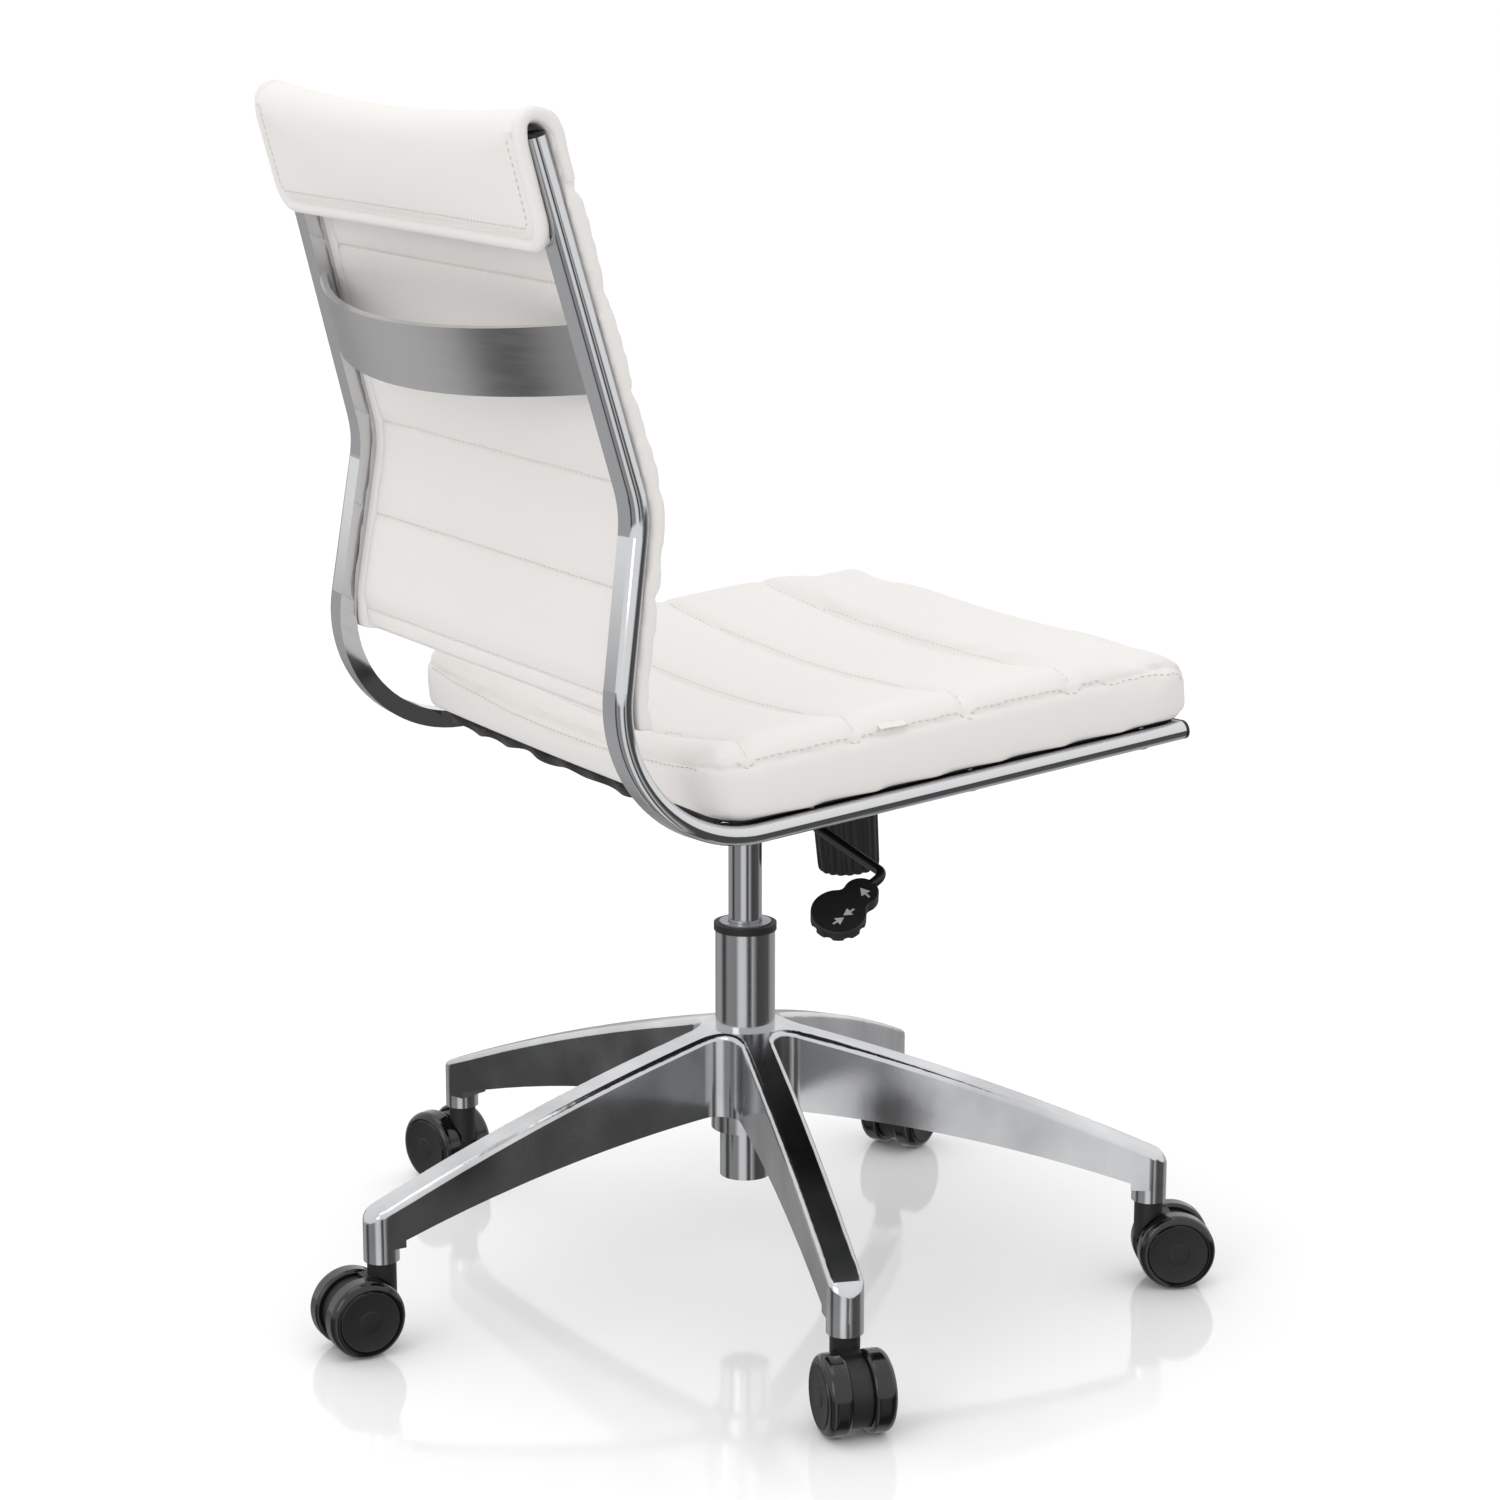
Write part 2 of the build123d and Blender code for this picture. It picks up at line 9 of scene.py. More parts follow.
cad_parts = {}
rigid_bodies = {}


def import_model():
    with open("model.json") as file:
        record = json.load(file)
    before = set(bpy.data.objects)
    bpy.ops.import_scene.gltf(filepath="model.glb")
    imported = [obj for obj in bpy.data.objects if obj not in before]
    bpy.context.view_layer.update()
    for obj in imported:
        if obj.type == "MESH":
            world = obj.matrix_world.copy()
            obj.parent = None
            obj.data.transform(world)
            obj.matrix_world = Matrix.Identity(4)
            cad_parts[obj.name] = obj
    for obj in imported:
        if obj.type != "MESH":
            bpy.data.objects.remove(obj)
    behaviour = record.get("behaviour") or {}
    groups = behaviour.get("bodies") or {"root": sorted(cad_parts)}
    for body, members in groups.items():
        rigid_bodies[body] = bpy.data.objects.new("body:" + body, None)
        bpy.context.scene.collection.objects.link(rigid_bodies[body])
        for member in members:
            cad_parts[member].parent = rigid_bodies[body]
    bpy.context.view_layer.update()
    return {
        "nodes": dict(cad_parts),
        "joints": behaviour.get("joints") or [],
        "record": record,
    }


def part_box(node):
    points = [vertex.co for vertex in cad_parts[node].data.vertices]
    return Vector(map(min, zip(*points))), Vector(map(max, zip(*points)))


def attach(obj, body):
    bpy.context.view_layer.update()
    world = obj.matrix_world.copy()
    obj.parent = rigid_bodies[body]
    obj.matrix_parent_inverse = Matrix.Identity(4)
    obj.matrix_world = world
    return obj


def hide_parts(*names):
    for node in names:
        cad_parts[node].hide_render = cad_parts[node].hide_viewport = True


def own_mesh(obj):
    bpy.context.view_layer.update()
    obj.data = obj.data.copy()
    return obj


for thing in list(bpy.data.objects):
    bpy.data.objects.remove(thing)

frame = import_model()
nodes = frame["nodes"]
jointOf = {joint["name"]: joint for joint in frame["joints"]}
print("frame loaded:", len(nodes), "nodes")


def linearColour(hexText):
    channels = [int(hexText[i:i + 2], 16) / 255 for i in (1, 3, 5)]
    return tuple(c / 12.92 if c <= 0.04045 else ((c + 0.055) / 1.055) ** 2.4 for c in channels) + (1.0,)


def startMaterial(name, colour, metallic=0.0, roughness=0.5, **sockets):
    material = bpy.data.materials.new(name)
    material.use_nodes = True
    shader = material.node_tree.nodes["Principled BSDF"]
    shader.inputs["Base Color"].default_value = linearColour(colour)
    shader.inputs["Metallic"].default_value = metallic
    shader.inputs["Roughness"].default_value = roughness
    for socket, value in sockets.items():
        shader.inputs[socket.replace("_", " ")].default_value = value
    return material, shader


def addNode(owner, kind, settings=None, values=None, links=None):  # owner is a material or the world
    node = owner.node_tree.nodes.new(kind)
    for key, value in (settings or {}).items():
        setattr(node, key, value)
    for key, value in (values or {}).items():
        node.inputs[key].default_value = value
    for key, source in (links or {}).items():
        owner.node_tree.links.new(source, node.inputs[key])
    return node


def link(owner, source, target):
    owner.node_tree.links.new(source, target)


def deselectAll():
    if bpy.context.object and bpy.context.object.mode != "OBJECT":
        bpy.ops.object.mode_set(mode="OBJECT")
    for thing in bpy.context.selected_objects:
        thing.select_set(False)


def choose(piece):
    deselectAll()
    piece.select_set(True)
    bpy.context.view_layer.objects.active = piece


def smoothByAngle(piece, degrees=35):
    choose(piece)
    bpy.ops.object.shade_smooth_by_angle(angle=math.radians(degrees))


def applyAll(piece):
    choose(piece)
    for modifier in list(piece.modifiers):
        bpy.ops.object.modifier_apply(modifier=modifier.name)


def freeze(piece):
    choose(piece)
    bpy.ops.object.transform_apply(location=True, rotation=True, scale=True)


def meshArray(piece):
    co = np.empty(len(piece.data.vertices) * 3)
    piece.data.vertices.foreach_get("co", co)
    return co.reshape(-1, 3)


def setMesh(piece, co):
    piece.data.vertices.foreach_set("co", co.astype(np.float32).ravel())
    piece.data.update()


def paint(piece, material):
    piece.data.materials.clear()
    piece.data.materials.append(material)


def noiseBump(material, shader, scale, distance, strength=0.5, detail=3.0, stretch=(1, 1, 1)):
    place = addNode(material, "ShaderNodeTexCoord")
    turned = addNode(material, "ShaderNodeMapping", values={"Scale": stretch},
                     links={"Vector": place.outputs["Object"]})
    noise = addNode(material, "ShaderNodeTexNoise", values={"Scale": scale, "Detail": detail},
                    links={"Vector": turned.outputs["Vector"]})
    bump = addNode(material, "ShaderNodeBump", values={"Distance": distance, "Strength": strength},
                   links={"Height": noise.outputs["Fac"]})
    link(material, bump.outputs["Normal"], shader.inputs["Normal"])
    return noise, turned


def roughnessFrom(material, shader, factor, low, high):
    spread = addNode(material, "ShaderNodeMapRange", values={"To Min": low, "To Max": high},
                     links={"Value": factor})
    link(material, spread.outputs["Result"], shader.inputs["Roughness"])


def colourFrom(material, shader, factor, dark, light, low=0.3, high=0.7):
    ramp = addNode(material, "ShaderNodeValToRGB", links={"Fac": factor})
    ramp.color_ramp.elements[0].position = low
    ramp.color_ramp.elements[0].color = linearColour(dark)
    ramp.color_ramp.elements[1].position = high
    ramp.color_ramp.elements[1].color = linearColour(light)
    link(material, ramp.outputs["Color"], shader.inputs["Base Color"])


def polishedChrome():
    # bent steel bar, nickel-chrome plated: a cool mirror with the faintest haze from handling
    material, shader = startMaterial("polished_chrome_plate", "#CFD0D2", metallic=1.0, roughness=0.06)
    noise = noiseBump(material, shader, scale=9, distance=0.0002, strength=0.12, detail=2)[0]
    roughnessFrom(material, shader, noise.outputs["Fac"], 0.03, 0.11)
    return material


def groundChrome():
    # centreless-ground tube under thin chrome: fine rings round the tube blur the highlight
    material, shader = startMaterial("ground_chrome_tube", "#C3C4C6", metallic=1.0, roughness=0.14)
    noise = noiseBump(material, shader, scale=60, distance=0.0001, strength=0.25, stretch=(0.4, 0.4, 12))[0]
    roughnessFrom(material, shader, noise.outputs["Fac"], 0.08, 0.2)
    return material


def castAluminium():
    # die-cast aluminium, belt polished by hand: bright, with cloudy streaks left by the wheel
    material, shader = startMaterial("polished_cast_aluminium", "#C9CACC", metallic=1.0, roughness=0.16)
    turned = noiseBump(material, shader, scale=26, distance=0.0006, strength=0.22, detail=4)[1]
    cloud = addNode(material, "ShaderNodeTexNoise", values={"Scale": 14, "Detail": 3},
                    links={"Vector": turned.outputs["Vector"]})
    roughnessFrom(material, shader, cloud.outputs["Fac"], 0.08, 0.26)
    colourFrom(material, shader, cloud.outputs["Fac"], "#B9BABC", "#D6D7D9")
    return material


def satinSteel():
    # rolled steel strip, satin brushed along its length before plating: soft long streaks
    material, shader = startMaterial("satin_chrome_strip", "#E0E0E0", metallic=1.0, roughness=0.24)
    noise = noiseBump(material, shader, scale=220, distance=0.0001, strength=0.18, stretch=(0.05, 0.3, 1))[0]
    roughnessFrom(material, shader, noise.outputs["Fac"], 0.17, 0.31)
    return material


def zincSteel():
    # turned steel with a thin zinc plate: grey, slightly mottled
    material, shader = startMaterial("zinc_plated_steel", "#A7A9AC", metallic=1.0, roughness=0.35)
    noise = noiseBump(material, shader, scale=180, distance=0.0001, strength=0.3)[0]
    roughnessFrom(material, shader, noise.outputs["Fac"], 0.28, 0.45)
    return material


def powderBlack():
    # powder-coated steel: black with a fine orange peel
    material, shader = startMaterial("powder_coated_steel", "#121213", roughness=0.42)
    noise = noiseBump(material, shader, scale=900, distance=0.0001, strength=0.35)[0]
    roughnessFrom(material, shader, noise.outputs["Fac"], 0.34, 0.5)
    return material


def mouldedNylon():
    # glass-filled nylon moulded against an etched tool: dull black with a fine spark grain
    material, shader = startMaterial("moulded_nylon", "#161617", roughness=0.5)
    noise = noiseBump(material, shader, scale=1400, distance=0.00012, strength=0.5)[0]
    roughnessFrom(material, shader, noise.outputs["Fac"], 0.42, 0.62)
    colourFrom(material, shader, noise.outputs["Fac"], "#111112", "#1B1B1C")
    return material


def glossNylon():
    # polished mould face: the wheel rims shine, with a slight flow ripple
    material, shader = startMaterial("gloss_moulded_nylon", "#0B0B0C", roughness=0.12, Coat_Weight=0.25)
    noise = noiseBump(material, shader, scale=45, distance=0.0002, strength=0.1)[0]
    roughnessFrom(material, shader, noise.outputs["Fac"], 0.09, 0.2)
    return material


def leatherette(name, colour, grainMm=1.1):
    # PU-coated fabric calendered with a fine leather grain: soft white with a low sheen
    material, shader = startMaterial(name, colour, roughness=0.46, Sheen_Weight=0.08, Sheen_Roughness=0.5)
    place = addNode(material, "ShaderNodeTexCoord")
    cells = addNode(material, "ShaderNodeTexVoronoi", {"feature": "DISTANCE_TO_EDGE"},
                    {"Scale": 1000 / grainMm}, {"Vector": place.outputs["Object"]})
    creases = addNode(material, "ShaderNodeMath", {"operation": "MINIMUM"}, {1: 0.25},
                      {0: cells.outputs["Distance"]})
    pores = addNode(material, "ShaderNodeBump", values={"Distance": 0.00025, "Strength": 0.22},
                    links={"Height": creases.outputs["Value"]})
    hide = addNode(material, "ShaderNodeTexNoise", values={"Scale": 28, "Detail": 3},
                   links={"Vector": place.outputs["Object"]})
    slack = addNode(material, "ShaderNodeBump", values={"Distance": 0.0012, "Strength": 0.12},
                    links={"Height": hide.outputs["Fac"], "Normal": pores.outputs["Normal"]})
    link(material, slack.outputs["Normal"], shader.inputs["Normal"])
    roughnessFrom(material, shader, hide.outputs["Fac"], 0.4, 0.54)
    return material


def stitchThread():
    # bonded polyester thread, two plies: warm beige against the white
    material, shader = startMaterial("polyester_thread", "#CFC6BB", roughness=0.7)
    noiseBump(material, shader, scale=2500, distance=0.0001, strength=0.5, stretch=(1, 1, 3))
    return material


def plyPaintedShade():
    # rotary-cut birch plywood, coloured near black as painted shade for the shadow gap between cushion and
    # rail, with a faint figure along the sheet
    material, shader = startMaterial("plywood_black_as_painted_shade", "#1C1A19", roughness=0.7)
    noise = noiseBump(material, shader, scale=30, distance=0.0003, strength=0.4, stretch=(1, 0.12, 3))[0]
    colourFrom(material, shader, noise.outputs["Fac"], "#141312", "#2A2623")
    return material


def bondedCloth():
    # spun-bonded dust cloth: thin matte black with a dimpled weld pattern
    material, shader = startMaterial("spunbond_cloth", "#19191A", roughness=0.92, Sheen_Weight=0.2)
    noiseBump(material, shader, scale=800, distance=0.0003, strength=0.6)
    return material


def whitePrint():
    # pad-printed marks: flat pale grey ink on the plastic
    material, shader = startMaterial("pad_print_ink", "#B9BABA", roughness=0.6)
    noiseBump(material, shader, scale=1500, distance=0.00005, strength=0.3)
    return material


slotMaterials = {
    "polished_aluminium": castAluminium(), "chrome_tube": groundChrome(), "polished_chrome": polishedChrome(),
    "satin_steel": satinSteel(), "zinc_steel": zincSteel(), "black_paint": powderBlack(),
    # the plywood slot's near-black colour is painted shade for the gap under the cushion
    "black_plastic": mouldedNylon(), "gloss_black": glossNylon(), "plywood": plyPaintedShade(),
    "black_cloth": bondedCloth(), "white_leatherette": leatherette("white_leatherette", "#DEDBD8"),
}
thread = stitchThread()
ink = whitePrint()

for part in frame["record"]["subparts"]:
    paint(nodes[part["node"]], slotMaterials[part["material_slot"]])


def copyNodes(name, *names):  # a loose copy of CAD nodes as one new piece
    deselectAll()
    copies = []
    for node in names:
        bpy.ops.object.select_all(action="DESELECT")
        bpy.context.view_layer.objects.active = nodes[node]
        nodes[node].select_set(True)
        bpy.ops.object.duplicate()
        twin = bpy.context.object
        bpy.ops.object.parent_clear(type="CLEAR_KEEP_TRANSFORM")
        for key in list(twin.keys()):
            del twin[key]
        copies.append(twin)
    deselectAll()
    for twin in copies:
        twin.select_set(True)
    bpy.context.view_layer.objects.active = copies[0]
    if len(copies) > 1:
        bpy.ops.object.join()
    piece = bpy.context.object
    piece.name = name
    piece.data.name = name
    bpy.ops.object.mode_set(mode="EDIT")
    bpy.ops.mesh.select_all(action="SELECT")
    bpy.ops.mesh.remove_doubles(threshold=0.00002)
    bpy.ops.mesh.normals_make_consistent(inside=False)
    bpy.ops.object.mode_set(mode="OBJECT")
    return piece


def remesh(piece, size):
    modifier = piece.modifiers.new("voxels", "REMESH")
    modifier.mode = "VOXEL"
    modifier.voxel_size = size
    applyAll(piece)


def relax(piece, rounds, factor=0.5):
    modifier = piece.modifiers.new("relax", "SMOOTH")
    modifier.iterations = rounds
    modifier.factor = factor
    applyAll(piece)


def subdivide(piece, levels=1):
    modifier = piece.modifiers.new("finer", "SUBSURF")
    modifier.levels = levels
    modifier.render_levels = levels
    applyAll(piece)


def inflate(piece, sewn, pressure, cap, frames=20):  # foam pushes out between the lines that are sewn down
    rest = meshArray(piece)
    group = piece.vertex_groups.new(name="sewn")
    group.add([int(i) for i in np.nonzero(sewn)[0]], 1.0, "REPLACE")
    cloth = piece.modifiers.new("cover", "CLOTH")
    settings = cloth.settings
    settings.quality = 5
    settings.mass = 0.25
    settings.tension_stiffness = settings.compression_stiffness = 22
    settings.bending_stiffness = 1.2
    settings.vertex_group_mass = "sewn"
    settings.use_pressure = True
    settings.uniform_pressure_force = pressure
    settings.effector_weights.gravity = 0
    scene = bpy.context.scene
    cloth.point_cache.frame_start = 1
    cloth.point_cache.frame_end = frames
    for number in range(1, frames + 1):
        scene.frame_set(number)
    shown = piece.evaluated_get(bpy.context.evaluated_depsgraph_get())
    moved = np.empty(len(shown.data.vertices) * 3)
    shown.data.vertices.foreach_get("co", moved)
    shift = moved.reshape(-1, 3) - rest
    far = np.linalg.norm(shift, axis=1, keepdims=True)
    shift *= np.where(far > cap, cap / np.maximum(far, 1e-9), 1.0)
    piece.modifiers.clear()
    piece.vertex_groups.clear()
    scene.frame_set(1)
    setMesh(piece, rest + shift)
    print(piece.name, "cover inflated, largest push", round(float(far.max()) * 1000, 1), "mm")


def normalArray(piece):
    no = np.empty(len(piece.data.vertices) * 3)
    piece.data.vertices.foreach_get("normal", no)
    return no.reshape(-1, 3)


def sinkSeam(piece, distance, depth, width):  # pulls the cover down along a sewn line
    co, no = meshArray(piece), normalArray(piece)
    pull = depth * np.exp(-np.abs(distance) / width)
    setMesh(piece, co - no * pull[:, None])


def stitchRun(name, piece, points, body, pitch=0.0065, length=0.0046, thick=0.0010, lift=0.0003):
    # thread stitches laid on the cover along a seam, each a small pinched bar
    tree = bpy.context.evaluated_depsgraph_get()
    target = piece.evaluated_get(tree)
    laid = [target.closest_point_on_mesh(Vector(point))[1] for point in points]
    bm = bmesh.new()
    run = 0.0
    for a, b in zip(laid, laid[1:]):
        gap = (b - a).length
        while run < gap:
            at = a.lerp(b, run / gap)
            at, up = target.closest_point_on_mesh(at)[1:3]
            ahead = ((b - a) - (b - a).dot(up) * up).normalized()
            side = up.cross(ahead)
            turn = Matrix((ahead, side, up)).transposed().to_4x4()
            turn.translation = at + up * lift
            made = bmesh.ops.create_uvsphere(bm, u_segments=6, v_segments=4, radius=0.5)["verts"]
            bmesh.ops.scale(bm, vec=(length, thick, thick), verts=made)
            bmesh.ops.transform(bm, matrix=turn, verts=made)
            run += pitch
        run -= gap
    mesh = bpy.data.meshes.new(name)
    bm.to_mesh(mesh)
    bm.free()
    stitches = bpy.data.objects.new(name, mesh)
    bpy.context.scene.collection.objects.link(stitches)
    paint(stitches, thread)
    for polygon in mesh.polygons:
        polygon.use_smooth = True
    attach(stitches, body)


seatSlope = math.radians(4.9)
seatHeight = 0.4715


def toSeat(co):  # row frame to the seat's own frame: y along the seat, z square to it
    y, z = co[:, 1], co[:, 2] - seatHeight
    return np.stack([co[:, 0], y * math.cos(seatSlope) - z * math.sin(seatSlope),
                     y * math.sin(seatSlope) + z * math.cos(seatSlope)], axis=1)


def fromSeat(co):
    y, z = co[:, 1], co[:, 2]
    return np.stack([co[:, 0], y * math.cos(seatSlope) + z * math.sin(seatSlope),
                     seatHeight - y * math.sin(seatSlope) + z * math.cos(seatSlope)], axis=1)


cushion = {
    "seams": (-0.165, -0.065, 0.035, 0.130), "seamCurve": 0.010, "seamDepth": 0.0040, "seamWidth": 0.0045,
    "sideSeam": 0.045, "sideDepth": 0.0026, "sideWidth": 0.0022, "halfWidth": 0.25, "rearDish": 0.008,
    "front": -0.288, "rear": 0.178, "cornerDrop": 0.014, "pushCap": 0.0048,
    "rearSeam": 0.047, "rearDip": 0.013, "rearHalf": 0.23, "stitchesAbove": 0.0045,
}


def seamBend(x):  # the cross seams turn a little to the back where they meet the side seams
    return cushion["seamCurve"] * np.minimum(1, np.abs(x) / cushion["halfWidth"]) ** 4


def sideSeamHeight(y):  # the side seam drops round the front roll
    ahead = np.clip((cushion["front"] + 0.045 - y) / 0.045, 0, 1)
    return cushion["sideSeam"] - 0.036 * (1 - np.sqrt(np.clip(1 - ahead ** 2, 0, 1)))


def rearSeamHeight(x):  # the rear seam dips towards the middle of the seat
    return cushion["rearSeam"] - cushion["rearDip"] * np.clip(1 - (x / cushion["rearHalf"]) ** 2, 0, 1)


def seatCushion():
    piece = copyNodes("seat_cushion_cover", "seat_cushion", "seat_board")
    remesh(piece, 0.005)
    relax(piece, 4)
    local = toSeat(meshArray(piece))
    x, y, z = local.T
    along = np.clip((y - cushion["front"]) / (cushion["rear"] - cushion["front"]), 0, 1)
    dip = cushion["rearDish"] * along ** 2 * np.clip(1 - (x / 0.215) ** 2, 0, 1)
    local[:, 2] -= dip * np.clip(z / 0.04, 0, 1)
    inX = np.clip((np.abs(x) - 0.13) / 0.12, 0, 1)
    inY = np.clip((cushion["front"] + 0.12 - y) / 0.12, 0, 1)
    local[:, 2] -= cushion["cornerDrop"] * inX ** 1.5 * inY ** 1.2 * np.clip(z / 0.04, 0, 1)
    setMesh(piece, fromSeat(local))
    onTop = z > 0.03
    onSide = np.abs(x) > cushion["halfWidth"] - 0.006
    crossGap = np.min([np.abs(y - seam - seamBend(x)) for seam in cushion["seams"]], axis=0)
    upward = normalArray(piece)[:, 2]
    crossGap = np.where(onTop & (upward > 0.3), crossGap, 1.0)
    sewn = (z < 0.006) | (onTop & (crossGap < 0.004)) | (onSide & (np.abs(z - sideSeamHeight(y)) < 0.004))
    inflate(piece, sewn, pressure=5.0, cap=cushion["pushCap"])
    relax(piece, 1)
    subdivide(piece)
    local = toSeat(meshArray(piece))
    x, y, z = local.T
    crossGap = np.min([np.abs(y - seam - seamBend(x)) for seam in cushion["seams"]], axis=0)
    crossGap = np.where(z > 0.028, crossGap, 1.0)
    upward = np.clip((normalArray(piece)[:, 2] - 0.25) / 0.45, 0, 1)
    sinkSeam(piece, crossGap, cushion["seamDepth"] * upward, cushion["seamWidth"])
    sideGap = np.where(np.abs(x) > cushion["halfWidth"] - 0.014, np.abs(z - sideSeamHeight(y)), 1.0)
    rearGap = np.where(y > cushion["rear"] - 0.014, np.abs(z - rearSeamHeight(x)), 1.0)
    sinkSeam(piece, np.minimum(sideGap, rearGap), cushion["sideDepth"], cushion["sideWidth"])
    paint(piece, slotMaterials["white_leatherette"])
    smoothByAngle(piece, 80)
    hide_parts("seat_cushion")
    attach(piece, "seat")
    above = cushion["stitchesAbove"]
    for side, name in ((-1, "right"), (1, "left")):
        line = [(side * (cushion["halfWidth"] + 0.004), y, float(sideSeamHeight(y)) + above)
                for y in np.linspace(cushion["rear"] - 0.03, cushion["front"] + 0.004, 60)]
        stitchRun(f"seat_side_stitches_{name}", piece, fromSeat(np.array(line)), "seat")
    line = [(x, cushion["rear"] + 0.004, float(rearSeamHeight(x)) + above)
            for x in np.linspace(-0.222, 0.222, 70)]
    stitchRun("seat_rear_stitches", piece, fromSeat(np.array(line)), "seat")
    for number, seam in enumerate(cushion["seams"]):
        line = [(x, seam + float(seamBend(x)), 0.05) for x in np.linspace(-0.236, 0.236, 70)]
        stitchRun(f"seat_cross_stitches_{number + 1}", piece, fromSeat(np.array(line)), "seat",
                  thick=0.0007, lift=0.0)


back = {
    "seams": (0.558, 0.637, 0.715, 0.789, 0.862), "rollSeam": 0.934, "seamDepth": 0.0034, "seamWidth": 0.0045,
    "panelDepth": 0.0022, "panelWidth": 0.0016, "panelPuff": 0.0026, "panelWall": 0.0035, "pushCap": 0.0055,
}
head = {
    "kink": (0.22973, 0.70095), "lean": 15.4, "lumbar": 8.3, "flapLow": 0.889,
    "halfWidth": 0.2275, "cornerRadius": 0.024, "pipingRadius": 0.0055, "topSag": 0.011, "hemGap": 0.0118,
}


def railLine(z):  # slope of the rails at a height: they lean back above the kink, forward below it
    above = np.asarray(z) > head["kink"][1]
    return np.where(above, math.tan(math.radians(head["lean"])), -math.tan(math.radians(head["lumbar"])))


def behindRails(y, z):  # distance behind the rails' middle plane, square to their run
    slope = railLine(z)
    return (y - head["kink"][0] - (z - head["kink"][1]) * slope) / np.sqrt(1 + slope ** 2)


def onRailPlane(offset, z):
    slope = railLine(z)
    return float(head["kink"][0] + (z - head["kink"][1]) * slope + offset * np.sqrt(1 + slope ** 2))


def panelRearLine():  # height and depth of the panel's rear face, from low to high
    low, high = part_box("back_panel")
    heights = np.linspace(low.z + 0.0006, high.z - 0.0006, 90)
    starts = [Vector((0, high.y + 0.05, height)) for height in heights]
    depths = [nodes["back_panel"].ray_cast(start, Vector((0, -1, 0)))[1].y for start in starts]
    return heights, np.array(depths)


def panelRear(z):
    heights, depths = panelLine
    slope = (depths[3] - depths[0]) / (heights[3] - heights[0])
    return np.where(z < heights[0], depths[0] + (z - heights[0]) * slope, np.interp(z, heights, depths))


def panelHalfWidth(z):
    return 0.214 - 0.024 * np.clip((z - 0.540) / 0.445, 0, 1)


def backCover():  # front pad, head roll and its rear flap are one sewn cover
    piece = copyNodes("back_and_head_cover", "back_pad", "head_roll")
    co = meshArray(piece)
    onSeam = (np.abs(co[:, 2] - 0.9345) < 0.0003) & (behindRails(co[:, 1], co[:, 2]) < -0.015)
    co[onSeam, 2] -= 0.003  # the roll's end laps the pad so that the two close up
    setMesh(piece, co)
    remesh(piece, 0.0045)
    relax(piece, 3)
    co = meshArray(piece)
    x, y, z = co.T.copy()
    flap = (behindRails(y, z) > 0.004) & (z > head["flapLow"] - 0.01)
    recess = ~flap & (np.abs(x) < panelHalfWidth(z) + 0.0002) & (z < back["rollSeam"] - 0.001)
    co[:, 1] = np.where(recess, np.minimum(y, panelRear(z) - back["panelWall"] - 0.0012), y)
    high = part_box("head_roll")[1]
    middle = np.clip(1 - (x / head["halfWidth"]) ** 2, 0, 1)
    topward = np.clip((z - 0.92) / (high.z - 0.92), 0, 1)
    co[:, 2] -= head["topSag"] * middle * topward ** 2
    cx, cz = head["halfWidth"] - head["cornerRadius"], head["flapLow"] + head["cornerRadius"]
    dx, dz = np.abs(co[:, 0]) - cx, cz - co[:, 2]
    reach = np.hypot(np.maximum(dx, 0), np.maximum(dz, 0))
    corner = flap & (dx > 0) & (dz > 0) & (reach > head["cornerRadius"] - 0.002)
    shrink = np.where(corner, (head["cornerRadius"] - 0.002) / np.maximum(reach, 1e-6), 1)
    co[:, 0] = np.where(corner, np.sign(x) * (cx + dx * shrink), co[:, 0])
    co[:, 2] = np.where(corner, cz - dz * shrink, co[:, 2])
    setMesh(piece, co)
    x, y, z = co.T
    no = normalArray(piece)
    seams = back["seams"] + (back["rollSeam"],)
    gap = np.min([np.abs(z - seam) for seam in seams], axis=0)
    padBack = (z < back["rollSeam"]) & ~flap & (no[:, 1] > -0.3)
    rollEnd = (np.abs(x) > 0.198) & (z > back["rollSeam"]) & (z < high.z - 0.035)
    inner = (behindRails(y, z) > -0.011) & (behindRails(y, z) < 0.011) & (z < 0.975)
    flapEdge = flap & ((z < head["flapLow"] + 0.015) | (np.abs(x) > head["halfWidth"] - 0.014))
    sides = np.abs(no[:, 0]) > 0.6
    sewn = padBack | (gap < 0.004) & (no[:, 1] < 0.3) | rollEnd | inner | flapEdge | sides
    inflate(piece, sewn, pressure=5.0, cap=back["pushCap"])
    relax(piece, 1)
    subdivide(piece)
    co, no = meshArray(piece), normalArray(piece)
    x, y, z = co.T
    ahead = behindRails(y, z) < -0.007
    gap = np.where(ahead & (no[:, 1] < 0.5), np.min([np.abs(z - seam) for seam in seams], axis=0), 1.0)
    faceOn = np.clip(-1.3 * no[:, 1], 0.22, 1)
    sinkSeam(piece, gap, back["seamDepth"] * faceOn, back["seamWidth"])
    co, no = meshArray(piece), normalArray(piece)
    x, y, z = co.T
    flap = (behindRails(y, z) > 0.012) & (z > head["flapLow"] - 0.01)
    edge = flapEdgeGap(x, z)
    dip = np.where(flap & (z < 0.972), 0.0032 * np.exp(-np.abs(edge - head["hemGap"] + 0.001) / 0.003), 0)
    dip = np.where(flap & (edge < head["hemGap"] - 0.001) & (z < 0.972), 0.0036, dip)
    setMesh(piece, co - no * dip[:, None] * np.clip(no[:, 1:2], 0, 1))
    paint(piece, slotMaterials["white_leatherette"])
    smoothByAngle(piece, 80)
    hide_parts("back_pad", "head_roll")
    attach(piece, "seat")
    for number, seam in enumerate(seams):
        width = 0.236 - 0.022 * (seam - 0.54) / 0.445
        line = [(x, onRailPlane(-0.024, seam), seam) for x in np.linspace(-width, width, 70)]
        stitchRun(f"back_cross_stitches_{number + 1}", piece, line, "seat", thick=0.0009, lift=0.0001)
    return piece


